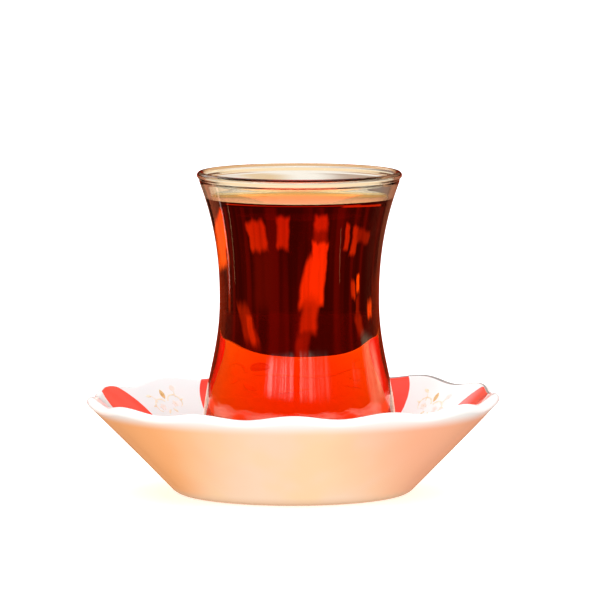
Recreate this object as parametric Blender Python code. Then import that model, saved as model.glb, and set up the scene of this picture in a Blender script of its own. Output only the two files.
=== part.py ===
"""A waisted glass of tea on its scalloped saucer, in metres, with +Z up.

The saucer stands on z = 0. Its wavy rim reaches further to the front than to the back, so its axis
lies a little behind the origin, which is the middle of the whole outline. The glass stands on the
saucer's flat floor, slightly to one side, and the tea fills it to about 8 mm below the rim.
"""

import math

import bmesh
import bpy

MM = 0.001
TOUCH_GAP = 0.3 * MM

# Saucer: a flat floor and a straight sloping wall, with a wavy rim
RIM_RADIUS = 57.4 * MM
RIM_HEIGHT = 27.0 * MM
WALL_SLOPE = math.radians(45.4)
WALL_THICKNESS = 2.9 * MM
FLOOR_HEIGHT = 4.5 * MM
FOOT_OUTER = 32.8 * MM
FOOT_WIDTH = 3.6 * MM
FOOT_RECESS = 1.4 * MM
HEEL_ROUNDING = 4.5 * MM
FLOOR_ROUNDING = 9.0 * MM
FOOT_ROUNDING = 0.6 * MM
SCALLOPS = 13
SCALLOP_HEIGHT = 0.65 * MM
SCALLOP_REACH = 0.55 * MM
SCALLOP_START = 9.0 * MM
RIM_LEAN = 0.5 * MM
SAUCER_SEGMENTS = 8 * SCALLOPS

# Glass: heights are above its own underside
GLASS_SHIFT = 1.8 * MM
GLASS_HEIGHT = 86.0 * MM
RIM_OUTER = 28.9 * MM
WAIST_OUTER = 22.5 * MM
BULB_OUTER = 27.1 * MM
BASE_OUTER = 22.5 * MM
WAIST_HEIGHT = 50.2 * MM
BULB_HEIGHT = 14.4 * MM
FLARE_POWER = 2.2
BULB_POWER = 1.12
HEEL_POWER = 3.0
BEAD_THICKNESS = 2.1 * MM
RIM_WALL = 1.5 * MM
BASE_WALL = 2.3 * MM
BASE_THICKNESS = 8.0 * MM
INNER_ROUNDING = 12.0 * MM
INNER_SQUARENESS = 2.3
STAND_INNER = 17.5 * MM
UNDERSIDE_DOME = 0.9 * MM
GLASS_SEGMENTS = 48

# Tea
TEA_BELOW_RIM = 7.6 * MM

SAUCER_SHIFT = SCALLOP_REACH
GLASS_FOOT = FLOOR_HEIGHT + TOUCH_GAP
BEAD_CENTRE = GLASS_HEIGHT - BEAD_THICKNESS / 2
TEA_LEVEL = GLASS_HEIGHT - TEA_BELOW_RIM


def clear_scene():
    for old in list(bpy.data.objects):
        bpy.data.objects.remove(old)


def material(name, colour, roughness, metallic=0.0, transmission=0.0, ior=1.5):
    made = bpy.data.materials.new(name)
    made.use_nodes = True
    shader = made.node_tree.nodes["Principled BSDF"]
    shader.inputs["Base Color"].default_value = (*colour, 1.0)
    shader.inputs["Roughness"].default_value = roughness
    shader.inputs["Metallic"].default_value = metallic
    shader.inputs["Transmission Weight"].default_value = transmission
    shader.inputs["IOR"].default_value = ior
    return made


def spaced(first, last, count):
    """The heights from first to last, closer together near both ends."""
    blends = [(1 - math.cos(math.pi * step / (count - 1))) / 2 for step in range(count)]
    return [first + (last - first) * blend for blend in blends]


def rounded(corners, steps=4):
    """A path through corners (r, z, rounding), each rounding an arc that touches both its sides."""
    path = []
    for index, (r, z, rounding) in enumerate(corners):
        if rounding == 0:
            path.append((r, z))
            continue
        r_in, z_in, _ = corners[index - 1]
        r_out, z_out, _ = corners[index + 1]
        angle_in = math.atan2(z_in - z, r_in - r)
        angle_out = math.atan2(z_out - z, r_out - r)
        turn = (angle_out - angle_in + math.pi) % (2 * math.pi) - math.pi
        middle = angle_in + turn / 2
        reach = rounding / math.sin(abs(turn) / 2)
        centre_r = r + reach * math.cos(middle)
        centre_z = z + reach * math.sin(middle)
        sweep = (math.pi - abs(turn)) * math.copysign(1, turn)
        for step in range(steps + 1):
            angle = middle + math.pi + sweep * (0.5 - step / steps)
            path.append((centre_r + rounding * math.cos(angle), centre_z + rounding * math.sin(angle)))
    return path


def offset(path, distance):
    """The path moved sideways, to the right of its own direction."""
    moved = []
    for index, (r, z) in enumerate(path):
        r_a, z_a = path[max(index - 1, 0)]
        r_b, z_b = path[min(index + 1, len(path) - 1)]
        length = math.hypot(r_b - r_a, z_b - z_a)
        moved.append((r + distance * (z_b - z_a) / length, z - distance * (r_b - r_a) / length))
    return moved


def turned(name, profile, segments, finish):
    """An object turned about Z from a profile that starts and ends on the axis."""
    mesh = bpy.data.meshes.new(name)
    body = bmesh.new()
    points = [body.verts.new((r, 0.0, z)) for r, z in profile]
    edges = [body.edges.new(pair) for pair in zip(points, points[1:])]
    bmesh.ops.spin(
        body,
        geom=points + edges,
        angle=2 * math.pi,
        steps=segments,
        axis=(0, 0, 1),
        cent=(0, 0, 0),
        use_merge=True,
    )
    bmesh.ops.remove_doubles(body, verts=body.verts[:], dist=0.001 * MM)
    bmesh.ops.recalc_face_normals(body, faces=body.faces[:])
    body.to_mesh(mesh)
    body.free()
    mesh.materials.append(finish)
    mesh.shade_smooth()
    mesh.set_sharp_from_angle(angle=math.radians(40))
    made = bpy.data.objects.new(name, mesh)
    bpy.context.collection.objects.link(made)
    return made


def saucer_section():
    """From the middle of the underside out to the lip, and back over the floor to the middle."""
    rise = RIM_HEIGHT - WALL_THICKNESS * math.cos(WALL_SLOPE) / 2
    run = rise / math.tan(WALL_SLOPE)
    across_r = -WALL_THICKNESS * math.sin(WALL_SLOPE)
    across_z = WALL_THICKNESS * math.cos(WALL_SLOPE)
    lip_r = FOOT_OUTER + run
    floor_r = FOOT_OUTER + across_r + (FLOOR_HEIGHT - across_z) / math.tan(WALL_SLOPE)
    foot_inner = FOOT_OUTER - FOOT_WIDTH
    lip_rounding = 0.49 * WALL_THICKNESS
    return rounded(
        [
            (0.0, FOOT_RECESS, 0.0),
            (foot_inner - FOOT_RECESS, FOOT_RECESS, FOOT_ROUNDING),
            (foot_inner, 0.0, 0.0),
            (FOOT_OUTER, 0.0, HEEL_ROUNDING),
            (lip_r, rise, lip_rounding),
            (lip_r + across_r, rise + across_z, lip_rounding),
            (floor_r, FLOOR_HEIGHT, FLOOR_ROUNDING),
            (0.0, FLOOR_HEIGHT, 0.0),
        ]
    )


def scallop(mesh):
    """Raises and widens the wall in waves, from nothing near the floor to full at the lip.

    The lip also stands slightly higher on the right than on the left, as it came from the kiln.
    """
    for vertex in mesh.vertices:
        x, y, z = vertex.co
        growth = max(0.0, (z - SCALLOP_START) / (RIM_HEIGHT - SCALLOP_START)) ** 2
        if growth == 0.0:
            continue
        wave = growth * math.cos(SCALLOPS * math.atan2(x, -y))
        widened = 1 + SCALLOP_REACH * wave / math.hypot(x, y)
        lean = growth * RIM_LEAN * x / RIM_RADIUS
        vertex.co = (x * widened, y * widened, z + SCALLOP_HEIGHT * wave + lean)


def outer_radius(height):
    """The glass's outer side: a heel, the bulb, the waist, and the flare up to the rim."""
    if height >= WAIST_HEIGHT:
        climb = (height - WAIST_HEIGHT) / (BEAD_CENTRE - WAIST_HEIGHT)
        return WAIST_OUTER + (RIM_OUTER - WAIST_OUTER) * climb**FLARE_POWER
    if height >= BULB_HEIGHT:
        drop = ((WAIST_HEIGHT - height) / (WAIST_HEIGHT - BULB_HEIGHT)) ** BULB_POWER
        return WAIST_OUTER + (BULB_OUTER - WAIST_OUTER) * (1 - math.cos(math.pi * drop)) / 2
    drop = (BULB_HEIGHT - height) / BULB_HEIGHT
    return BULB_OUTER - (BULB_OUTER - BASE_OUTER) * drop**HEEL_POWER


def inner_radius(height):
    """The glass's inner side: a wall that thickens downwards, then a rounded bottom."""
    wall = BASE_WALL + (RIM_WALL - BASE_WALL) * height / GLASS_HEIGHT
    radius = outer_radius(height) - wall
    above = (height - BASE_THICKNESS) / INNER_ROUNDING
    if above < 1:
        radius *= (1 - (1 - above) ** INNER_SQUARENESS) ** (1 / INNER_SQUARENESS)
    return radius


def inner_path(top):
    """The inner side from the middle of the bottom up to a height."""
    bend = BASE_THICKNESS + INNER_ROUNDING
    quarter = [math.pi / 2 * step / 6 for step in range(7)]
    low = [bend - INNER_ROUNDING * math.cos(angle) ** (2 / INNER_SQUARENESS) for angle in quarter]
    high = spaced(bend, top, 11)[1:]
    return [(inner_radius(height), height) for height in low + high]


def glass_section():
    """From the middle of the inner bottom up to the rim, over its bead, and down to the underside."""
    bead = BEAD_THICKNESS / 2
    bead_r = RIM_OUTER - bead
    path = inner_path(BEAD_CENTRE - bead)
    for step in range(7):
        angle = math.radians(200 - 220 * step / 6)
        path.append((bead_r + bead * math.cos(angle), BEAD_CENTRE + bead * math.sin(angle)))
    outer = spaced(BEAD_CENTRE - bead, WAIST_HEIGHT, 8) + spaced(WAIST_HEIGHT, BULB_HEIGHT, 7)[1:]
    heel = [BULB_HEIGHT * (1 - step / 4) for step in range(1, 5)]
    path += [(outer_radius(height), height) for height in outer + heel]
    path += [(STAND_INNER, 0.0), (STAND_INNER / 2, UNDERSIDE_DOME * 3 / 4), (0.0, UNDERSIDE_DOME)]
    return path


def tea_section():
    """The inner side of the glass moved in by the gap, closed by the flat surface of the tea."""
    wetted = offset(inner_path(TEA_LEVEL), -TOUCH_GAP)
    middle = BASE_THICKNESS + TOUCH_GAP
    sides = [(r, z) for r, z in wetted if r > 0 and z > middle]
    edge_r = sides[-1][0]
    return [(0.0, middle)] + sides[:-1] + [(edge_r, TEA_LEVEL), (0.0, TEA_LEVEL)]


def build():
    clear_scene()
    porcelain = material("glazed_porcelain", (0.91, 0.88, 0.84), 0.12)
    clear = material("clear_glass", (0.98, 0.99, 0.98), 0.02, transmission=1.0, ior=1.5)
    brew = material("brewed_tea", (0.62, 0.05, 0.01), 0.03, transmission=0.8, ior=1.33)

    saucer = turned("saucer", saucer_section(), SAUCER_SEGMENTS, porcelain)
    scallop(saucer.data)
    saucer.location = (0.0, SAUCER_SHIFT, 0.0)

    glass = turned("glass", glass_section(), GLASS_SEGMENTS, clear)
    tea = turned("tea", tea_section(), GLASS_SEGMENTS, brew)
    for standing in (glass, tea):
        standing.location = (GLASS_SHIFT, SAUCER_SHIFT, GLASS_FOOT)


build()
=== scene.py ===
"""The look of a waisted glass of black tea on its scalloped saucer.

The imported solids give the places. Each of the three is replaced by a finer mesh of the same form:
the saucer with its printed ovals and gold sprigs, the clear glass, and the tea with its meniscus.
"""

import math
import random

import bpy
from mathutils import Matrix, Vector


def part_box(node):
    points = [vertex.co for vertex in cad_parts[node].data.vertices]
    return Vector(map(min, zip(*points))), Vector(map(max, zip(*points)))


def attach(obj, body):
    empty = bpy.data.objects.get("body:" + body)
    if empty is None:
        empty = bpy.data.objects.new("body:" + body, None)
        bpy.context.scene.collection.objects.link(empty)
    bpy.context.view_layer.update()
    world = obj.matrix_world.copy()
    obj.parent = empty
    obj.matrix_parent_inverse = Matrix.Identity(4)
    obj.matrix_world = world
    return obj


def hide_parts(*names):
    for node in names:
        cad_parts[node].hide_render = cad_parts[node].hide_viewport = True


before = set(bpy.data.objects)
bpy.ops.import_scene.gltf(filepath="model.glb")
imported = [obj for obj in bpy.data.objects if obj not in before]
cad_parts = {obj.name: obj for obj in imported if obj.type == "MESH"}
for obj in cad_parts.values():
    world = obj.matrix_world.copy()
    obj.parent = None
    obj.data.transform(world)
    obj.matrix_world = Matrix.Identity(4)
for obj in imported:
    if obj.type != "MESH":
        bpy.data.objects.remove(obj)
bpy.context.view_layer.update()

MM = 0.001
WHITE = (1.0, 1.0, 1.0)

# Saucer: a flat floor and a straight sloping wall, with a wavy rim
RIM_RADIUS = 57.4 * MM
RIM_HEIGHT = 27.0 * MM
WALL_SLOPE = math.radians(45.4)
WALL_THICKNESS = 2.9 * MM
FLOOR_HEIGHT = 4.5 * MM
FOOT_OUTER = 32.8 * MM
FOOT_WIDTH = 3.6 * MM
FOOT_RECESS = 1.4 * MM
HEEL_ROUNDING = 4.5 * MM
FLOOR_ROUNDING = 9.0 * MM
FOOT_ROUNDING = 0.6 * MM
LIP_ROUNDING = 0.49 * WALL_THICKNESS
SCALLOPS = 13
SCALLOP_HEIGHT = 0.65 * MM
SCALLOP_REACH = 0.55 * MM
SCALLOP_START = 9.0 * MM
RIM_LEAN = 0.5 * MM
SAUCER_SEGMENTS = 32 * SCALLOPS
SAUCER_STEP = 1.2 * MM

# The finer waves are drawn in by this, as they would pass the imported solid's corners
FINE_OVERSHOOT = 0.006 * MM

# The outer edge of the wall's top, before its rounding, and the way from there to the inner edge
ACROSS_R = -WALL_THICKNESS * math.sin(WALL_SLOPE)
ACROSS_Z = WALL_THICKNESS * math.cos(WALL_SLOPE)
WALL_TOP_Z = RIM_HEIGHT - ACROSS_Z / 2
WALL_TOP_R = FOOT_OUTER + WALL_TOP_Z / math.tan(WALL_SLOPE)

# Print inside the saucer: red ovals cut by a white rim, and a gold sprig between each two. The whole
# print lies PRINT_SHIFT behind the saucer's middle, and each sprig SPRIG_SIDE off its gap's middle.
OVALS = 7
OVAL_HALF_WIDTH = 10.3 * MM
OVAL_HALF_LENGTH = 10.9 * MM
OVAL_CENTRE = 45.8 * MM
OVAL_RAGGED = 0.02
PRINT_SHIFT = 2.15 * MM
PRINT_TURN = math.radians(4.5)
RIM_MARGIN = 1.3 * MM
RIM_SOFTNESS = 0.2 * MM
SPRIG_RADIUS = 48.4 * MM
SPRIG_SIDE = -0.9 * MM
SPRIG_PROUD = 0.05 * MM
SPRIG_SUNK = 0.12 * MM

# The strokes of one sprig, in mm: start (to the right, outwards), heading in degrees from outwards to
# the right, length, width, turning in degrees, and whether it is a leaf, thickest in its middle
LEAF_STROKES = [(0.0, 1.2, 0.0, 3.4, 1.5, 0.0, True)]
SCROLL_STROKES = [
    (0.5, 0.4, 35.0, 9.2, 0.50, 215.0, False),
    (-0.5, 0.4, -35.0, 9.2, 0.50, -215.0, False),
    (-3.5, 0.8, -10.0, 3.0, 0.32, -25.0, False),
    (-4.3, 3.5, -60.0, 2.2, 1.0, -20.0, True),
    (4.0, 1.0, 12.0, 2.2, 0.30, 20.0, False),
    (4.9, -0.4, 70.0, 1.5, 0.6, 20.0, True),
    (-4.9, -0.4, -70.0, 1.5, 0.6, -20.0, True),
    (0.6, -2.6, 125.0, 1.9, 0.7, 30.0, True),
    (-0.6, -2.6, -125.0, 1.9, 0.7, -30.0, True),
    (2.75, -1.35, 0.0, 0.5, 0.5, 0.0, True),
    (-2.75, -1.35, 0.0, 0.5, 0.5, 0.0, True),
]
ROSE_STROKES = [(4.5, 3.0, 15.0, 2.3, 1.8, 0.0, True)]
PETALS = 5
for side in (-2.75, 2.75):
    for petal in range(PETALS):
        ROSE_STROKES.append((side, -1.1, 360.0 / PETALS * petal, 1.25, 0.95, 0.0, True))

# How a stroke narrows towards its ends, and how far a brush strays from one sprig to the next
LEAF_FULLNESS = 0.75
STROKE_TAPER = 0.6
THINNEST_MM = 0.05
STRAYS_MM = 0.1
STRAYS_DEGREES = 9.0

# A fine grey line of painted shade along the top of the lip, only at the back on the right. It fades
# in towards the right along x and towards the back along y, and narrows at its right end along x.
# LIP_GROWTH is how much the rim's waves and lean have grown at the lip's top.
LIP_TOP = 27.41 * MM
LIP_GROWTH = ((LIP_TOP - SCALLOP_START) / (RIM_HEIGHT - SCALLOP_START)) ** 2
LIP_SHADE_FROM = 27.10 * MM
LIP_SHADE_SOFTNESS = 0.08 * MM
LIP_SHADE_RIGHT = (-2.0 * MM, 16.0 * MM)
LIP_SHADE_BACK = (-14.0 * MM, 6.0 * MM)
LIP_SHADE_END = (46.5 * MM, 52.0 * MM)
LIP_SHADE_NARROWS = 0.24 * MM
LIP_SHADE_GREY = (0.30, 0.30, 0.29)

# Glaze and enamel inside the saucer, the first two mixed in soft clouds with their clouded colours,
# where along x the white's painted shade, darker and cooler on the left, gives way to the lit white,
# and how deep the orange peel of every glaze is
SHADED_WHITE = (0.775, 0.855, 0.868)
SHADED_WHITE_CLOUDED = (0.79, 0.862, 0.865)
LIT_WHITE = (0.885, 0.905, 0.90)
RED_ENAMEL = (0.92, 0.060, 0.042)
RED_ENAMEL_CLOUDED = (0.90, 0.090, 0.066)
SHADE_TO_LIT = (-10.0 * MM, 45.0 * MM)
PEEL_DEPTH = 0.06 * MM
FIRED_GOLD = (0.74, 0.53, 0.22)
PALE_GOLD = (0.87, 0.82, 0.64)
ROSE_ENAMEL = (0.84, 0.84, 0.83)

# Glaze outside the saucer, with painted warm light on its left and right sides and painted shade at its
# foot: where along x the sides turn to peach, where along z its foot and its lip pass into the rest, and
# how far the edges of the painted warm light drift
CREAM_GLAZE = (0.93, 0.68, 0.49)
CREAM_GLAZE_CLOUDED = (0.94, 0.67, 0.41)
PAINTED_LIGHT_LEFT = (1.0, 0.46, 0.19)
PAINTED_LIGHT_RIGHT = (0.985, 0.45, 0.27)
PAINTED_FOOT_SHADE = (0.80, 0.52, 0.34)
LIP_GLAZE = (0.94, 0.93, 0.91)
LEFT_FROM_TO = (-38.0 * MM, -13.0 * MM)
RIGHT_FROM_TO = (8.0 * MM, 42.0 * MM)
FOOT_FROM_TO = (0.0, 3.0 * MM)
LIP_FROM_TO = (22.0 * MM, 26.0 * MM)
PAINTED_LIGHT_DRIFT = 30.0 * MM

# Glass: heights are above its own underside. The rim's bead is an arc from BEAD_FROM to BEAD_TO degrees
# over its top, and the neck is a shallow crease under it.
GLASS_HEIGHT = 86.0 * MM
RIM_OUTER = 28.9 * MM
WAIST_OUTER = 22.5 * MM
BULB_OUTER = 27.1 * MM
BASE_OUTER = 22.5 * MM
WAIST_HEIGHT = 50.2 * MM
BULB_HEIGHT = 14.4 * MM
FLARE_POWER = 2.2
BULB_POWER = 1.12
HEEL_POWER = 3.0
BEAD_THICKNESS = 2.1 * MM
RIM_WALL = 1.5 * MM
BASE_WALL = 2.3 * MM
BASE_THICKNESS = 8.0 * MM
INNER_ROUNDING = 12.0 * MM
INNER_SQUARENESS = 2.3
STAND_INNER = 17.5 * MM
STAND_EDGE = 0.4 * MM
STAND_ROUNDING = 0.3 * MM
BEAD_FROM = 200.0
BEAD_TO = -20.0
UNDERSIDE_DOME = 0.9 * MM
WAVY_DEPTH = 0.04 * MM
GLASS_IOR = 1.5
GLASS_SEGMENTS = 256
ARC_STEPS = 24
BEAD_CENTRE = GLASS_HEIGHT - BEAD_THICKNESS / 2
NECK_HEIGHT = BEAD_CENTRE - 1.2 * MM
NECK_DEPTH = 0.18 * MM
NECK_WIDTH = 0.40 * MM

# Tea: it reaches just into the wall and climbs it a little
WALL_BITE = 0.06 * MM
MENISCUS_CLIMB = 0.6 * MM
MENISCUS_WIDTH = 4.4 * MM
MENISCUS_REACH = 22.0 * MM
MENISCUS_STEPS = 29
TEA_PASSES = (0.999, 0.64, 0.0)
TEA_DENSITY = 190.0
TEA_IOR = 1.33

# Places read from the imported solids
GLASS_LOW, GLASS_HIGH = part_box("glass")
TEA_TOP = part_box("tea")[1].z
SAUCER_AXIS = Vector((0.0, SCALLOP_REACH, 0.0))
GLASS_AXIS = Vector(((GLASS_LOW.x + GLASS_HIGH.x) / 2, (GLASS_LOW.y + GLASS_HIGH.y) / 2, GLASS_LOW.z))
TEA_LEVEL = TEA_TOP - GLASS_LOW.z

# Camera: the photograph's frame is 600 pixels wide, and a millimetre at the glass is 3.55 of them
PICTURE_WIDTH_PX = 600
PX_PER_MM = 3.55
CAMERA_DISTANCE = 2.2
CAMERA_ELEVATION = math.radians(5.85)
LOOK_AT = Vector((1.97 * MM, SAUCER_AXIS.y, 54.4 * MM))
SENSOR_WIDTH_MM = 36.0

# One softbox high up behind the glass, in metres, and the plain floor with a glow of its own
LIGHT_ELEVATION = math.radians(75.0)
LIGHT_DISTANCE = 1.2
LIGHT_SIDE = 1.0
LIGHT_RADIANCE = 0.8
FLOOR_REACH = 8.0
FLOOR_PALE = (0.93, 0.93, 0.93)
FLOOR_GLOW = 0.3

# Light of the room from above, and of the warm table from below, mixed near the horizon
ROOM_ABOVE = (1.56, 1.56, 1.57)
TABLE_BELOW = (1.08, 1.03, 0.99)
HORIZON_DEGREES = 4.0

# How much more of that light a lit surface gathers where it is seen in a mirroring surface, through
# the glass, through the tea, or mirrored within the tea
GATHERED_BY_MIRRORS = (2.3, 1.35, 1.1)
GATHERED_BY_GLASS = (2.4, 1.15, 0.85)
GATHERED_BY_TEA = (1.55, 0.88, 0.25)
GATHERED_BY_BOUNCE = (0.30, 0.20, 0.15)

# How many surfaces a ray has crossed when it leaves: four for the empty glass, and six for the tea in
# it. A mirrored ray shows the tea's surface from three on, and the inside of the tea from five on.
CROSSED_AT_TEA = 3
CROSSED_IN_TEA = 5

# The wall that the windows hang in turns pale high up and brown low down, over these degrees, but only
# behind the glass, where a direction's part along y has passed WALL_BEHIND. The windows sway to the
# sides and up and down, and folds and bars shade some of them in upright streaks.
WALL_PALE = (9.5, 13.5)
WALL_BROWN = (-20.0, -14.0)
WALL_BEHIND = (0.3, 0.75)
SWAY_DEGREES = 3.0
LIFT_DEGREES = 2.0
FOLD_SHADE = 0.70
BAR_SHADE = 0.15

# What glass, tea and glaze show of the room, as windows in a plain wall. Degrees, the azimuth from
# straight behind the glass to the right. Each is (middle, half width, low, high, slant, softness,
# colour), and the slant is how many degrees the middle moves to the right for each degree upwards.
AMBER = (1.65, 0.88, 0.26)
BLUSH = (1.60, 0.76, 0.36)
BRICK = (0.13, 0.03, 0.01)
BRONZE = (0.42, 0.20, 0.11)
BROWN = (0.65, 0.31, 0.14)
CHESTNUT = (0.42, 0.10, 0.045)
CLEAR = (1.05, 0.98, 0.86)
COPPER = (0.75, 0.26, 0.10)
CREAM = (1.15, 1.08, 0.85)
DARK = (0.040, 0.006, 0.003)
FLAME = (1.30, 0.50, 0.20)
FRONT_COOL = (4.2, 4.6, 4.4)
FRONT_ROSE = (2.6, 2.5, 2.0)
GARNET = (0.38, 0.11, 0.04)
GLOW = (2.2, 1.15, 0.4)
GOLD = (2.3, 1.75, 0.85)
MAROON = (0.12, 0.016, 0.006)
PALE = (1.12, 0.85, 0.53)
PEACH = (1.0, 0.72, 0.50)
ROSE = (2.6, 2.5, 1.6)
RUDDY = (0.50, 0.035, 0.008)
RUSSET = (0.80, 0.17, 0.07)
SHEEN = (2.4, 1.7, 1.5)
STONE = (0.55, 0.40, 0.30)
STRAW = (2.4, 2.1, 1.5)
TAN = (0.85, 0.62, 0.36)
TAUPE = (0.32, 0.25, 0.20)
TOAST = (0.86, 0.52, 0.25)
UMBER = (0.48, 0.25, 0.15)
VEIL = (1.6, 1.7, 1.7)

# Seen straight through the glass, where there is no tea
SEEN_THROUGH_GLASS = [
    (0.0, 14.0, -80.0, -41.0, 0.0, 3.0, PEACH),
    (0.0, 16.0, -41.0, -14.0, 0.0, 3.0, TOAST),
    (-12.5, 10.5, -12.0, 3.0, 0.0, 1.0, PALE),
    (10.0, 8.0, -12.0, 3.0, 0.0, 1.0, TAUPE),
    (0.0, 2.4, -13.0, 0.6, 0.0, 0.7, CLEAR),
    (1.75, 1.3, -7.6, -3.0, 0.0, 0.45, STONE),
    (-0.9, 0.4, -8.0, -3.0, 0.0, 0.3, TAN),
    (0.0, 5.0, 8.8, 24.0, 0.0, 1.0, PALE),
    (0.0, 16.0, 1.5, 8.5, 0.0, 1.5, CREAM),
]

# Seen straight through the tea. It is a lens, so what is to the right in the room shows on its left.
SEEN_THROUGH_TEA = [
    # In the left half of the tea
    (13.0, 4.0, -7.5, 0.5, 0.0, 2.0, BRICK),
    (15.0, 3.7, 0.3, 5.4, 0.35, 0.7, COPPER),
    (5.3, 1.9, 0.3, 5.2, 0.0, 0.6, COPPER),
    (52.0, 16.0, -0.5, 11.8, 0.0, 1.3, GLOW),
    (22.0, 4.2, -14.0, -7.0, 1.0, 1.0, GARNET),
    (19.6, 1.6, -14.0, -9.0, 0.8, 0.6, COPPER),
    (38.0, 1.6, -9.0, 3.0, 0.0, 1.5, GARNET),
    # In one long streak beside its middle
    (-7.0, 2.3, 1.0, 5.4, 0.0, 0.8, GARNET),
    (-7.0, 2.0, 3.2, 5.6, 0.0, 0.6, COPPER),
    (-6.6, 2.6, -6.8, 1.2, -0.1, 0.5, FLAME),
    (-3.4, 2.2, -6.8, -1.0, -0.5, 0.9, FLAME),
    (-3.6, 2.8, -11.5, -6.0, -0.3, 1.0, COPPER),
    (-1.0, 2.2, -15.0, -11.5, 0.0, 0.8, GARNET),
    # In its right half
    (-17.2, 1.0, 0.6, 5.2, -0.2, 0.5, COPPER),
    (-21.4, 1.5, 0.0, 5.2, -0.3, 0.6, COPPER),
    (-27.5, 4.8, 2.8, 5.2, -0.6, 0.7, GARNET),
    (-22.6, 1.3, -5.9, -3.9, 0.0, 0.5, COPPER),
    (-25.8, 0.9, -5.4, -3.0, 0.0, 0.4, GLOW),
    (-25.5, 1.0, -9.0, -5.9, 0.0, 0.6, GARNET),
    (-38.5, 3.0, -10.8, -7.0, 0.0, 1.0, FLAME),
    (-27.0, 2.6, -13.5, -9.0, 0.5, 1.2, GARNET),
]

# Mirrored by the outside of the glass and by the glaze, plain and in upright bars
MIRRORED_OUTSIDE = [
    (0.0, 16.0, -40.0, -6.0, 0.0, 4.0, BRONZE),
    (0.0, 40.0, 8.5, 40.0, 0.0, 2.5, BRONZE),
    (0.0, 50.0, -8.0, 4.5, 0.0, 1.5, RUDDY),
    (-42.0, 13.0, -27.0, -10.0, 0.0, 3.0, RUSSET),
    (24.0, 12.0, -22.0, -8.0, 0.0, 3.0, CHESTNUT),
    (-58.5, 1.3, -28.0, -7.0, 0.0, 0.9, SHEEN),
    (-73.0, 0.9, -28.0, -9.0, 0.0, 0.7, BLUSH),
    (120.0, 0.8, -28.0, -11.0, 0.0, 0.6, BLUSH),
    (-38.0, 14.0, 16.0, 46.0, 0.0, 6.0, VEIL),
]
BARS_OUTSIDE = [
    (66.0, 16.0, 2.5, 13.0, 0.0, 2.5, ROSE),
    (-153.0, 18.0, 14.0, 20.0, 0.0, 2.0, FRONT_COOL),
    (171.0, 12.0, 13.5, 20.0, 0.0, 2.0, FRONT_ROSE),
    (92.0, 12.0, 12.5, 20.0, 0.0, 2.0, FRONT_ROSE),
    (148.0, 9.0, 13.5, 19.5, 0.0, 3.0, CREAM),
]

# Mirrored within the glass, by the surface of the tea, and inside the tea
MIRRORED_IN_GLASS = [
    (0.0, 60.0, -60.0, 60.0, 0.0, 12.0, BRONZE),
]
MIRRORED_BY_TEA = [
    (0.0, 16.0, -1.0, 5.4, 0.0, 0.8, BLUSH),
    (0.0, 16.0, 5.4, 7.4, 0.0, 0.8, AMBER),
    (0.0, 18.0, 7.4, 10.0, 0.0, 0.8, GOLD),
    (0.0, 18.0, 10.0, 30.0, 0.0, 0.8, STRAW),
]
MIRRORED_INSIDE_TEA = [
    (4.0, 26.0, -3.2, 1.5, 0.0, 0.8, COPPER),
    (-26.0, 12.0, 2.0, 6.5, 0.0, 0.8, COPPER),
]


# Meshes

def spaced(first, last, count):
    """The heights from first to last, closer together near both ends."""
    blends = [(1 - math.cos(math.pi * step / (count - 1))) / 2 for step in range(count)]
    return [first + (last - first) * blend for blend in blends]


def rounded(corners, steps=14):
    """A path through corners (r, z, rounding), each rounding an arc that touches both its sides."""
    path = []
    for index, (r, z, rounding) in enumerate(corners):
        if rounding == 0:
            path.append((r, z))
            continue
        r_in, z_in, _ = corners[index - 1]
        r_out, z_out, _ = corners[index + 1]
        angle_in = math.atan2(z_in - z, r_in - r)
        angle_out = math.atan2(z_out - z, r_out - r)
        turn = (angle_out - angle_in + math.pi) % (2 * math.pi) - math.pi
        middle = angle_in + turn / 2
        reach = rounding / math.sin(abs(turn) / 2)
        centre_r = r + reach * math.cos(middle)
        centre_z = z + reach * math.sin(middle)
        sweep = (math.pi - abs(turn)) * math.copysign(1, turn)
        for step in range(steps + 1):
            angle = middle + math.pi + sweep * (0.5 - step / steps)
            path.append((centre_r + rounding * math.cos(angle), centre_z + rounding * math.sin(angle)))
    return path


def divided(path, longest):
    """The path with points added so that no step is longer than this."""
    made = [path[0]]
    for (r_a, z_a), (r_b, z_b) in zip(path, path[1:]):
        parts = max(1, math.ceil(math.hypot(r_b - r_a, z_b - z_a) / longest))
        for part in range(1, parts + 1):
            share = part / parts
            made.append((r_a + (r_b - r_a) * share, z_a + (z_b - z_a) * share))
    return made


def offset(path, distance):
    """The path moved sideways, to the right of its own direction."""
    moved = []
    for index, (r, z) in enumerate(path):
        r_a, z_a = path[max(index - 1, 0)]
        r_b, z_b = path[min(index + 1, len(path) - 1)]
        length = math.hypot(r_b - r_a, z_b - z_a)
        moved.append((r + distance * (z_b - z_a) / length, z - distance * (r_b - r_a) / length))
    return moved


def new_object(name, vertices, faces, materials, place=(0.0, 0.0, 0.0)):
    """A smooth object with sharp edges where its faces meet at more than 40 degrees."""
    mesh = bpy.data.meshes.new(name)
    mesh.from_pydata(vertices, [], faces)
    for finish in materials:
        mesh.materials.append(finish)
    mesh.shade_smooth()
    mesh.set_sharp_from_angle(angle=math.radians(40))
    made = bpy.data.objects.new(name, mesh)
    made.location = place
    bpy.context.scene.collection.objects.link(made)
    return made


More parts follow.
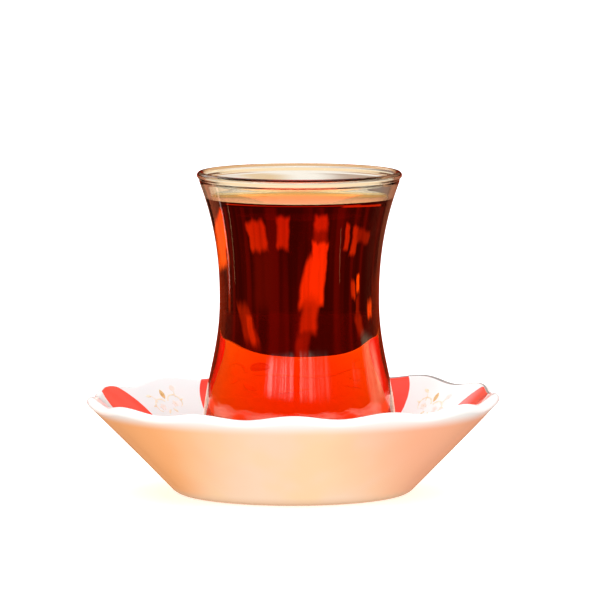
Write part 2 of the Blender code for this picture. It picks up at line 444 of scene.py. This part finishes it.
def turned(profile, segments):
    """Vertices and faces of a profile, from axis to axis, turned about Z. It winds counterclockwise."""
    vertices = [(0.0, 0.0, profile[0][1]), (0.0, 0.0, profile[-1][1])]
    rings = []
    for r, z in profile[1:-1]:
        ring = range(len(vertices), len(vertices) + segments)
        for index in range(segments):
            angle = 2 * math.pi * index / segments
            vertices.append((r * math.sin(angle), -r * math.cos(angle), z))
        rings.append(ring)
    faces = []
    for index in range(segments):
        after = (index + 1) % segments
        faces.append((0, rings[0][after], rings[0][index]))
        for lower, upper in zip(rings, rings[1:]):
            faces.append((lower[index], lower[after], upper[after], upper[index]))
        faces.append((rings[-1][index], rings[-1][after], 1))
    return vertices, faces


def saucer_section():
    """From the middle of the underside out to the lip, and back over the floor to the middle."""
    foot_inner = FOOT_OUTER - FOOT_WIDTH
    floor_r = FOOT_OUTER + ACROSS_R + (FLOOR_HEIGHT - ACROSS_Z) / math.tan(WALL_SLOPE)
    corners = [
        (0.0, FOOT_RECESS, 0.0),
        (foot_inner - FOOT_RECESS, FOOT_RECESS, FOOT_ROUNDING),
        (foot_inner, 0.0, 0.0),
        (FOOT_OUTER, 0.0, HEEL_ROUNDING),
        (WALL_TOP_R, WALL_TOP_Z, LIP_ROUNDING),
        (WALL_TOP_R + ACROSS_R, WALL_TOP_Z + ACROSS_Z, LIP_ROUNDING),
        (floor_r, FLOOR_HEIGHT, FLOOR_ROUNDING),
        (0.0, FLOOR_HEIGHT, 0.0),
    ]
    return divided(rounded(corners), SAUCER_STEP)


def scalloped(x, y, z):
    """Where the rim's waves and lean move a point of the turned saucer."""
    growth = max(0.0, (z - SCALLOP_START) / (RIM_HEIGHT - SCALLOP_START)) ** 2
    if growth == 0.0:
        return (x, y, z)
    wave = growth * math.cos(SCALLOPS * math.atan2(x, -y))
    widened = 1 + (SCALLOP_REACH * wave - FINE_OVERSHOOT * growth) / math.hypot(x, y)
    lean = growth * RIM_LEAN * x / RIM_RADIUS
    return (x * widened, y * widened, z + SCALLOP_HEIGHT * wave + lean)


def outer_radius(height):
    """The glass's outer side: a heel, the bulb, the waist, and the flare up to the rim."""
    if height >= WAIST_HEIGHT:
        climb = (height - WAIST_HEIGHT) / (BEAD_CENTRE - WAIST_HEIGHT)
        return WAIST_OUTER + (RIM_OUTER - WAIST_OUTER) * climb**FLARE_POWER
    if height >= BULB_HEIGHT:
        drop = ((WAIST_HEIGHT - height) / (WAIST_HEIGHT - BULB_HEIGHT)) ** BULB_POWER
        return WAIST_OUTER + (BULB_OUTER - WAIST_OUTER) * (1 - math.cos(math.pi * drop)) / 2
    drop = (BULB_HEIGHT - height) / BULB_HEIGHT
    return BULB_OUTER - (BULB_OUTER - BASE_OUTER) * drop**HEEL_POWER


def inner_radius(height):
    """The glass's inner side: a wall that thickens downwards, then a rounded bottom."""
    wall = BASE_WALL + (RIM_WALL - BASE_WALL) * height / GLASS_HEIGHT
    radius = outer_radius(height) - wall
    above = (height - BASE_THICKNESS) / INNER_ROUNDING
    if above < 1:
        radius *= (1 - (1 - above) ** INNER_SQUARENESS) ** (1 / INNER_SQUARENESS)
    return radius


def inner_path(top, count=60):
    """The inner side from the middle of the bottom up to a height."""
    bend = BASE_THICKNESS + INNER_ROUNDING
    quarter = [math.pi / 2 * step / ARC_STEPS for step in range(ARC_STEPS + 1)]
    low = [bend - INNER_ROUNDING * math.cos(angle) ** (2 / INNER_SQUARENESS) for angle in quarter]
    high = spaced(bend, top, count)[1:]
    return [(inner_radius(height), height) for height in low + high]


def glass_section():
    """From the middle of the inner bottom up to the rim, over its bead, and down to the underside."""
    bead = BEAD_THICKNESS / 2
    bead_r = RIM_OUTER - bead
    path = inner_path(BEAD_CENTRE - bead)
    for step in range(ARC_STEPS + 1):
        angle = math.radians(BEAD_FROM + (BEAD_TO - BEAD_FROM) * step / ARC_STEPS)
        path.append((bead_r + bead * math.cos(angle), BEAD_CENTRE + bead * math.sin(angle)))
    outer = spaced(BEAD_CENTRE - bead, WAIST_HEIGHT, 50) + spaced(WAIST_HEIGHT, BULB_HEIGHT, 40)[1:]
    heel = [BULB_HEIGHT * (1 - step / ARC_STEPS) for step in range(1, ARC_STEPS)]
    for height in outer + heel:
        neck = NECK_DEPTH * math.exp(-(((height - NECK_HEIGHT) / NECK_WIDTH) ** 2))
        path.append((outer_radius(height) - neck, height))
    stand = [
        (outer_radius(STAND_EDGE), STAND_EDGE, 0.0),
        (BASE_OUTER, 0.0, STAND_ROUNDING),
        (STAND_INNER, 0.0, 0.0),
    ]
    path += rounded(stand, 6)[1:]
    for share in (0.9, 0.75, 0.5, 0.25, 0.0):
        path.append((STAND_INNER * share, UNDERSIDE_DOME * (1 - share**2)))
    return path


def tea_section():
    """From the middle of the bottom, just inside the glass, up the wall and in over the surface."""
    contact = TEA_LEVEL + MENISCUS_CLIMB
    wetted = offset(inner_path(contact, 70), WALL_BITE)
    path = [(0.0, BASE_THICKNESS - WALL_BITE)] + wetted[1:-1]
    edge_r = inner_radius(contact) + WALL_BITE
    path.append((edge_r, contact))
    for step in range(1, MENISCUS_STEPS + 1):
        away = MENISCUS_REACH * (step / MENISCUS_STEPS) ** 1.6
        path.append((edge_r - away, TEA_LEVEL + MENISCUS_CLIMB * math.exp(-away / MENISCUS_WIDTH)))
    path += [((edge_r - MENISCUS_REACH) * share, path[-1][1]) for share in (0.66, 0.33, 0.0)]
    return path


# Nodes of the materials and the world

def plug(tree, value, socket):
    """Links the value to the socket, or sets it there. A colour is given as its three numbers."""
    if isinstance(value, bpy.types.NodeSocket):
        tree.links.new(value, socket)
    elif socket.type == "RGBA":
        socket.default_value = (*value, 1.0)
    else:
        socket.default_value = value


def fill(tree, node, inputs):
    """Plugs each value into the node's input of that name or number."""
    for key, value in inputs.items():
        plug(tree, value, node.inputs[key])


def add(tree, kind, inputs, **settings):
    """A new node with its settings made and its inputs filled."""
    made = tree.nodes.new(kind)
    for key, value in settings.items():
        setattr(made, key, value)
    fill(tree, made, inputs)
    return made


def calc(tree, operation, *values):
    """The result of a Math node on sockets or numbers."""
    return add(tree, "ShaderNodeMath", dict(enumerate(values)), operation=operation).outputs[0]


def at_least(tree, value, count):
    """1 where a whole number has reached the count, and 0 below it."""
    return calc(tree, "GREATER_THAN", value, count - 0.5)


def hypotenuse(tree, across, along):
    """The length of a flat vector from its two parts."""
    squares = [calc(tree, "MULTIPLY", side, side) for side in (across, along)]
    return calc(tree, "SQRT", calc(tree, "ADD", *squares))


def ease(tree, value, low, high, to_low=0.0, to_high=1.0):
    """A smooth step from to_low at low to to_high at high."""
    inputs = {"Value": value, "From Min": low, "From Max": high, "To Min": to_low, "To Max": to_high}
    return add(tree, "ShaderNodeMapRange", inputs, interpolation_type="SMOOTHSTEP").outputs[0]


def blend(tree, share, first, second):
    """The first colour where the share is 0, and the second where it is 1."""
    return add(tree, "ShaderNodeMix", {0: share, 6: first, 7: second}, data_type="RGBA").outputs[2]


def noise(tree, where, scale, detail=3.0):
    inputs = {"Vector": where, "Scale": scale, "Detail": detail}
    return add(tree, "ShaderNodeTexNoise", inputs).outputs[0]


def stretched(tree, where, scale):
    return add(tree, "ShaderNodeMapping", {"Vector": where, "Scale": scale}).outputs[0]


def bumped(tree, height, depth, strength):
    inputs = {"Height": height, "Distance": depth, "Strength": strength}
    return add(tree, "ShaderNodeBump", inputs).outputs[0]


def here(tree):
    """The point in the object's own space, and its x, y and z."""
    where = add(tree, "ShaderNodeTexCoord", {}).outputs["Object"]
    axes = add(tree, "ShaderNodeSeparateXYZ", {"Vector": where}).outputs
    return where, axes[0], axes[1], axes[2]


# Materials

def new_material(name):
    """A material with its tree and Principled shader."""
    made = bpy.data.materials.new(name)
    made.use_nodes = True
    tree = made.node_tree
    return made, tree, tree.nodes["Principled BSDF"]


def clear_material(name, ior):
    """A smooth clear material that bends light by this index, with its tree and shader."""
    made, tree, shader = new_material(name)
    fill(tree, shader, {"Base Color": WHITE, "Roughness": 0.0, "IOR": ior, "Transmission Weight": 1.0})
    return made, tree, shader


def glaze(tree, shader, where, roughness, relief):
    """The gloss of a glaze: slightly uneven, with a fine orange peel and what relief is given."""
    mottle = noise(tree, where, scale=90.0)
    uneven = ease(tree, mottle, 0.3, 0.7, roughness * 0.7, roughness * 1.4)
    peel = calc(tree, "MULTIPLY", noise(tree, where, scale=900.0, detail=2.0), 0.25)
    height = calc(tree, "ADD", peel, relief)
    fill(tree, shader, {"Roughness": uneven, "Normal": bumped(tree, height, PEEL_DEPTH, 0.12)})


def rim_wave(tree, x, y):
    """The rim's wave at this point's bearing, from 1 on a crest to -1 in a trough."""
    turn = calc(tree, "ARCTAN2", x, calc(tree, "MULTIPLY", y, -1.0))
    return calc(tree, "COSINE", calc(tree, "MULTIPLY", turn, float(SCALLOPS)))


def with_lip_shade(tree, x, y, z, colour):
    """The colour, with the painted shade line along the top of the lip over it."""
    level = calc(tree, "MULTIPLY_ADD", rim_wave(tree, x, y), -LIP_GROWTH * SCALLOP_HEIGHT, z)
    level = calc(tree, "MULTIPLY_ADD", x, -LIP_GROWTH * RIM_LEAN / RIM_RADIUS, level)
    level = calc(tree, "MULTIPLY_ADD", ease(tree, x, *LIP_SHADE_END), -LIP_SHADE_NARROWS, level)
    # Painted shade: a grey line along the lip's top, at the back on the right.
    line = ease(tree, level, LIP_SHADE_FROM, LIP_SHADE_FROM + LIP_SHADE_SOFTNESS)
    place = calc(tree, "MULTIPLY", ease(tree, x, *LIP_SHADE_RIGHT), ease(tree, y, *LIP_SHADE_BACK))
    return blend(tree, calc(tree, "MULTIPLY", line, place), colour, LIP_SHADE_GREY)


def red_print(tree, where, x, y):
    """1 within the ovals and 0 beside them and on the rim. All ovals are worked out as one, turned."""
    shifted = calc(tree, "SUBTRACT", y, PRINT_SHIFT)
    spread = hypotenuse(tree, x, shifted)
    angle = calc(tree, "SUBTRACT", calc(tree, "ARCTAN2", x, shifted), PRINT_TURN + math.pi / OVALS)
    local = calc(tree, "WRAP", angle, math.pi / OVALS, -math.pi / OVALS)
    across = calc(tree, "MULTIPLY", spread, calc(tree, "SINE", local))
    across = calc(tree, "DIVIDE", across, OVAL_HALF_WIDTH)
    along = calc(tree, "MULTIPLY", spread, calc(tree, "COSINE", local))
    along = calc(tree, "DIVIDE", calc(tree, "SUBTRACT", along, OVAL_CENTRE), OVAL_HALF_LENGTH)
    oval = hypotenuse(tree, across, along)
    ragged = calc(tree, "MULTIPLY_ADD", noise(tree, where, scale=400.0), OVAL_RAGGED, oval)
    inside_oval = ease(tree, ragged, 1.0, 1.0 + OVAL_RAGGED, 1.0, 0.0)

    edge = calc(tree, "MULTIPLY_ADD", rim_wave(tree, x, y), SCALLOP_REACH, RIM_RADIUS - RIM_MARGIN)
    inward = calc(tree, "SUBTRACT", edge, hypotenuse(tree, x, y))
    return calc(tree, "MULTIPLY", inside_oval, ease(tree, inward, 0.0, RIM_SOFTNESS))


def porcelain_inside():
    """White glaze with red ovals, printed a little off the saucer's middle and stopped at the rim."""
    made, tree, shader = new_material("porcelain_inside")
    where, x, y, z = here(tree)
    red = red_print(tree, where, x, y)
    cloud = ease(tree, noise(tree, where, scale=60.0), 0.35, 0.65)
    # Painted shade: the white is darker and cooler on the left, and lit white on the right.
    shaded = blend(tree, cloud, SHADED_WHITE, SHADED_WHITE_CLOUDED)
    white = blend(tree, ease(tree, x, *SHADE_TO_LIT), shaded, LIT_WHITE)
    enamel = blend(tree, cloud, RED_ENAMEL, RED_ENAMEL_CLOUDED)
    printed = blend(tree, red, white, enamel)
    plug(tree, with_lip_shade(tree, x, y, z, printed), shader.inputs["Base Color"])
    glaze(tree, shader, where, 0.10, red)
    return made


def porcelain_outside():
    """Same glaze outside: white lip, clouded cream below, peach painted warm light at the sides, painted
    foot shade.
    """
    made, tree, shader = new_material("porcelain_outside")
    where, x, y, z = here(tree)
    # The edges of the painted warm light on the sides drift in soft clouds.
    drift = calc(tree, "SUBTRACT", noise(tree, where, scale=28.0, detail=2.0), 0.5)
    aside = calc(tree, "MULTIPLY_ADD", drift, PAINTED_LIGHT_DRIFT, x)
    left = ease(tree, aside, *LEFT_FROM_TO, 1.0, 0.0)
    right = ease(tree, aside, *RIGHT_FROM_TO, 0.0, 0.9)
    cloud = ease(tree, noise(tree, where, scale=55.0, detail=2.0), 0.35, 0.65)
    cream = blend(tree, cloud, CREAM_GLAZE, CREAM_GLAZE_CLOUDED)
    # Painted warm light turns the left and right sides peach.
    sides = blend(tree, right, blend(tree, left, cream, PAINTED_LIGHT_LEFT), PAINTED_LIGHT_RIGHT)
    # Painted shade darkens the glaze towards the foot.
    foot = blend(tree, ease(tree, z, *FOOT_FROM_TO), PAINTED_FOOT_SHADE, sides)
    lip = blend(tree, ease(tree, z, *LIP_FROM_TO), foot, LIP_GLAZE)
    plug(tree, with_lip_shade(tree, x, y, z, lip), shader.inputs["Base Color"])
    glaze(tree, shader, where, 0.14, 0.0)
    return made


def brushed_enamel(name, colour, metallic, roughness):
    """Fired gold or enamel, brushed on by hand, so its tone and gloss wander a little."""
    made, tree, shader = new_material(name)
    where = here(tree)[0]
    wander = ease(tree, noise(tree, where, scale=700.0), 0.3, 0.7)
    deeper = (0.98 * colour[0], 0.90 * colour[1], 0.80 * colour[2])
    tone = blend(tree, wander, deeper, colour)
    gloss = ease(tree, wander, 0.0, 1.0, roughness * 0.8, roughness * 1.3)
    fill(tree, shader, {"Base Color": tone, "Roughness": gloss, "Metallic": metallic})
    return made


def clear_glass():
    """Polished soda glass with the faint waviness of a pressed wall."""
    made, tree, shader = clear_material("clear_glass", GLASS_IOR)
    upright = stretched(tree, here(tree)[0], (1.0, 1.0, 0.25))
    wavy = noise(tree, upright, scale=110.0, detail=1.0)
    plug(tree, bumped(tree, wavy, WAVY_DEPTH, 0.25), shader.inputs["Normal"])
    return made


def brewed_tea():
    """Clear black tea: light crosses it and loses its blue and green on the way."""
    made, tree, _ = clear_material("brewed_tea", TEA_IOR)
    depth = add(tree, "ShaderNodeVolumeAbsorption", {"Color": TEA_PASSES, "Density": TEA_DENSITY})
    plug(tree, depth.outputs[0], tree.nodes["Material Output"].inputs["Volume"])
    return made


# Pieces

def make_saucer():
    """The whole saucer, with the inside's glaze from the top of the lip inwards."""
    profile = saucer_section()
    vertices, faces = turned(profile, SAUCER_SEGMENTS)
    vertices = [scalloped(*vertex) for vertex in vertices]
    glazes = [porcelain_outside(), porcelain_inside()]
    saucer = new_object("saucer_porcelain", vertices, faces, glazes, SAUCER_AXIS)
    lip_top = max(range(len(profile)), key=lambda index: profile[index][1])
    rows = len(profile) - 1
    for index, polygon in enumerate(saucer.data.polygons):
        polygon.material_index = int(index % rows >= lip_top)
    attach(saucer, "root")
    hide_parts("saucer")


def wall_point(across, along):
    """A point on the saucer's inner wall from print coordinates, and the wall's normal there."""
    x = across
    y = along + PRINT_SHIFT
    radius = math.hypot(x, y)
    z = WALL_TOP_Z + ACROSS_Z + (radius - (WALL_TOP_R + ACROSS_R)) * math.tan(WALL_SLOPE)
    lean = -math.sin(WALL_SLOPE) / radius
    return Vector(scalloped(x, y, z)), Vector((lean * x, lean * y, math.cos(WALL_SLOPE)))


def stroke_path(stroke, panel, steps=12):
    """Left and right edges of a stroke on the wall, as (point, normal), from its start to its end."""
    side, out, heading, length, width, turning, leaf = stroke
    heading = math.radians(heading)
    edges = []
    for step in range(steps + 1):
        share = step / steps
        swell = math.sin(math.pi * share) ** LEAF_FULLNESS if leaf else 1 - STROKE_TAPER * share
        half = MM * max(width * swell, THINNEST_MM) / 2
        pair = []
        for sign in (-1, 1):
            u = MM * side + SPRIG_SIDE + sign * half * math.cos(heading)
            v = MM * out - sign * half * math.sin(heading)
            radius = SPRIG_RADIUS + v * math.cos(WALL_SLOPE)
            angle = panel + u / SPRIG_RADIUS
            pair.append(wall_point(radius * math.sin(angle), radius * math.cos(angle)))
        edges.append(pair)
        side += length / steps * math.sin(heading)
        out += length / steps * math.cos(heading)
        heading += math.radians(turning) / steps
    return edges


def make_strokes(name, strokes, finish, seed):
    """One closed mesh of all the sprigs' strokes of one colour, sunk a little into the glaze."""
    draw = random.Random(seed)
    vertices = []
    faces = []
    for index in range(OVALS):
        panel = PRINT_TURN + 2 * math.pi * index / OVALS
        for side, out, heading, *rest in strokes:
            side += draw.uniform(-STRAYS_MM, STRAYS_MM)
            out += draw.uniform(-STRAYS_MM, STRAYS_MM)
            heading += draw.uniform(-STRAYS_DEGREES, STRAYS_DEGREES)
            first = len(vertices)
            edges = stroke_path((side, out, heading, *rest), panel)
            for pair in edges:
                for point, normal in pair:
                    vertices.append(point + SPRIG_PROUD * normal)
                    vertices.append(point - SPRIG_SUNK * normal)
            for step in range(len(edges) - 1):
                a = first + 4 * step
                b = a + 4
                faces += [(a, a + 2, b + 2, b), (a + 3, a + 1, b + 1, b + 3)]
                faces += [(a + 1, a, b, b + 1), (a + 2, a + 3, b + 3, b + 2)]
            last = len(vertices) - 4
            faces += [(first, first + 1, first + 3, first + 2), (last, last + 2, last + 3, last + 1)]
    sprigs = new_object(name, vertices, faces, [finish], SAUCER_AXIS)
    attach(sprigs, "root")


def make_sprigs():
    gold = brushed_enamel("fired_gold", FIRED_GOLD, 0.1, 0.30)
    pale_gold = brushed_enamel("pale_gold", PALE_GOLD, 0.05, 0.30)
    rose = brushed_enamel("rose_enamel", ROSE_ENAMEL, 0.0, 0.35)
    make_strokes("leaf_sprigs", LEAF_STROKES, gold, 3)
    make_strokes("scroll_sprigs", SCROLL_STROKES, pale_gold, 4)
    make_strokes("rose_sprigs", ROSE_STROKES, rose, 5)


def make_glass():
    vertices, faces = turned(glass_section()[::-1], GLASS_SEGMENTS)
    glass = new_object("tea_glass", vertices, faces, [clear_glass()], GLASS_AXIS)
    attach(glass, "root")
    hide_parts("glass")


def make_tea():
    vertices, faces = turned(tea_section(), GLASS_SEGMENTS)
    tea = new_object("tea_in_glass", vertices, faces, [brewed_tea()], GLASS_AXIS)
    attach(tea, "root")
    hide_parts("tea")


# Stage, light and camera

def make_floor():
    """A plain pale floor that only the camera sees, as the world holds what the glass shows of it."""
    corners = ((-1, -1), (1, -1), (1, 1), (-1, 1))
    vertices = [(FLOOR_REACH * x, FLOOR_REACH * y, 0.0) for x, y in corners]
    made, tree, shader = new_material("studio_floor")
    matt = {"Base Color": FLOOR_PALE, "Roughness": 0.9, "Specular IOR Level": 0.0}
    glow = {"Emission Color": WHITE, "Emission Strength": FLOOR_GLOW}
    fill(tree, shader, matt | glow)
    floor = new_object("studio_floor", vertices, [(0, 1, 2, 3)], [made])
    floor.visible_transmission = False
    floor.visible_glossy = False
    floor.visible_diffuse = False


def within(tree, away, half, soft):
    """1 up to half away on either side, and 0 further off, with a soft edge."""
    return ease(tree, calc(tree, "ABSOLUTE", away), half - soft, half + soft, 1.0, 0.0)


def hang_windows(tree, windows, place, folds, wall):
    """The windows' colours over the wall's, each window a soft-edged patch of azimuth and elevation."""
    azimuth, elevation = place
    seen = wall
    for middle, half_width, low, high, slant, soft, colour in windows:
        upwards = calc(tree, "SUBTRACT", elevation, (low + high) / 2)
        centre = calc(tree, "MULTIPLY_ADD", upwards, slant, middle)
        across = within(tree, calc(tree, "SUBTRACT", azimuth, centre), half_width, soft)
        upright = within(tree, upwards, (high - low) / 2, soft)
        share = calc(tree, "MULTIPLY", calc(tree, "MULTIPLY", across, upright), folds)
        seen = blend(tree, share, seen, colour)
    return seen


def seen_room(tree, azimuth, elevation, along_y, kinds):
    """What a ray shows of the room, by whether it was mirrored and how much it crossed before."""
    degrees = add(tree, "ShaderNodeCombineXYZ", {"X": azimuth, "Y": elevation}).outputs[0]
    bends = stretched(tree, degrees, (0.05, 0.28, 1.0))
    streaks = stretched(tree, degrees, (0.8, 0.05, 1.0))
    sway = calc(tree, "SUBTRACT", noise(tree, bends, scale=1.0, detail=2.0), 0.5)
    lift = calc(tree, "SUBTRACT", noise(tree, streaks, scale=0.5, detail=2.0), 0.5)
    swayed = calc(tree, "MULTIPLY_ADD", sway, SWAY_DEGREES, azimuth)
    lifted = calc(tree, "MULTIPLY_ADD", lift, LIFT_DEGREES, elevation)
    place = (swayed, lifted)

    behind = ease(tree, along_y, *WALL_BEHIND)
    high = calc(tree, "MULTIPLY", behind, ease(tree, elevation, *WALL_PALE))
    low = calc(tree, "MULTIPLY", behind, ease(tree, elevation, *WALL_BROWN, 1.0, 0.0))
    bright = blend(tree, low, blend(tree, high, UMBER, PALE), BROWN)
    murk = ease(tree, noise(tree, streaks, scale=0.22, detail=2.0), 0.45, 0.62)
    murky = blend(tree, murk, DARK, MAROON)
    folds = ease(tree, noise(tree, streaks, scale=0.6), 0.3, 0.6, FOLD_SHADE, 1.0)
    bars = ease(tree, noise(tree, streaks, scale=0.8, detail=1.0), 0.43, 0.57, BAR_SHADE, 1.0)

    through_glass = hang_windows(tree, SEEN_THROUGH_GLASS, place, folds, bright)
    through_tea = hang_windows(tree, SEEN_THROUGH_TEA, place, folds, murky)
    outside = hang_windows(tree, MIRRORED_OUTSIDE, place, 1.0, DARK)
    outside = hang_windows(tree, BARS_OUTSIDE, place, bars, outside)
    in_glass = hang_windows(tree, MIRRORED_IN_GLASS, place, 1.0, DARK)
    by_tea = hang_windows(tree, MIRRORED_BY_TEA, (azimuth, elevation), 1.0, DARK)
    inside_tea = hang_windows(tree, MIRRORED_INSIDE_TEA, place, 1.0, DARK)

    straight = blend(tree, kinds["in tea"], through_glass, through_tea)
    mirrored = blend(tree, kinds["entered"], outside, in_glass)
    of_tea = blend(tree, kinds["in tea"], by_tea, inside_tea)
    mirrored = blend(tree, kinds["at tea"], mirrored, of_tea)
    return blend(tree, kinds["mirrored"], straight, mirrored)


def gathered_light(tree, elevation, kinds):
    """The light that a lit surface gathers, by how the surface itself is seen."""
    light = blend(tree, ease(tree, elevation, -HORIZON_DEGREES, HORIZON_DEGREES), TABLE_BELOW, ROOM_ABOVE)
    more = blend(tree, kinds["mirrored"], WHITE, GATHERED_BY_MIRRORS)
    more = blend(tree, kinds["entered"], more, GATHERED_BY_GLASS)
    more = blend(tree, kinds["in tea"], more, GATHERED_BY_TEA)
    mirrored_in_tea = calc(tree, "MULTIPLY", kinds["in tea"], kinds["mirrored"])
    more = blend(tree, mirrored_in_tea, more, GATHERED_BY_BOUNCE)
    return add(tree, "ShaderNodeVectorMath", {0: light, 1: more}, operation="MULTIPLY").outputs[0]


def make_world():
    """White for the camera, soft light for what it lights, and windows for glass, tea and glaze."""
    world = bpy.data.worlds.new("studio")
    bpy.context.scene.world = world
    world.use_nodes = True
    tree = world.node_tree
    way = add(tree, "ShaderNodeTexCoord", {}).outputs["Generated"]
    axes = add(tree, "ShaderNodeSeparateXYZ", {"Vector": way}).outputs
    azimuth = calc(tree, "DEGREES", calc(tree, "ARCTAN2", axes[0], axes[1]))
    elevation = calc(tree, "DEGREES", calc(tree, "ARCSINE", axes[2]))

    path = add(tree, "ShaderNodeLightPath", {}).outputs
    kinds = {
        "lit": at_least(tree, path["Diffuse Depth"], 1),
        "mirrored": at_least(tree, path["Glossy Depth"], 1),
        "entered": at_least(tree, path["Transmission Depth"], 1),
        "at tea": at_least(tree, path["Transmission Depth"], CROSSED_AT_TEA),
        "in tea": at_least(tree, path["Transmission Depth"], CROSSED_IN_TEA),
    }
    seen = seen_room(tree, azimuth, elevation, axes[1], kinds)
    colour = blend(tree, kinds["lit"], seen, gathered_light(tree, elevation, kinds))
    colour = blend(tree, path["Is Camera Ray"], colour, WHITE)
    fill(tree, tree.nodes["Background"], {"Color": colour, "Strength": 1.0})
    world.cycles.sampling_method = "NONE"


def make_camera():
    data = bpy.data.cameras.new("camera")
    data.sensor_width = SENSOR_WIDTH_MM
    focal_px = PX_PER_MM / MM * CAMERA_DISTANCE
    data.lens = SENSOR_WIDTH_MM * focal_px / PICTURE_WIDTH_PX
    data.clip_end = 100.0
    camera = bpy.data.objects.new("camera", data)
    back = Vector((0.0, -math.cos(CAMERA_ELEVATION), math.sin(CAMERA_ELEVATION)))
    camera.location = LOOK_AT + CAMERA_DISTANCE * back
    camera.rotation_mode = "QUATERNION"
    camera.rotation_quaternion = (-back).to_track_quat("-Z", "Y")
    bpy.context.scene.collection.objects.link(camera)
    bpy.context.scene.camera = camera


def make_light():
    """A square softbox high up behind the glass, which faces it and isn't in the picture."""
    data = bpy.data.lights.new("top_softbox", "AREA")
    data.shape = "SQUARE"
    data.size = LIGHT_SIDE
    data.energy = LIGHT_RADIANCE * math.pi * LIGHT_SIDE**2
    light = bpy.data.objects.new("top_softbox", data)
    way = Vector((0.0, math.cos(LIGHT_ELEVATION), math.sin(LIGHT_ELEVATION)))
    light.location = LOOK_AT + LIGHT_DISTANCE * way
    light.rotation_mode = "QUATERNION"
    light.rotation_quaternion = way.to_track_quat("Z", "Y")
    light.visible_camera = False
    bpy.context.scene.collection.objects.link(light)


make_saucer()
make_sprigs()
make_glass()
make_tea()
make_floor()
make_world()
make_light()
make_camera()
bpy.context.scene.view_settings.view_transform = "Standard"
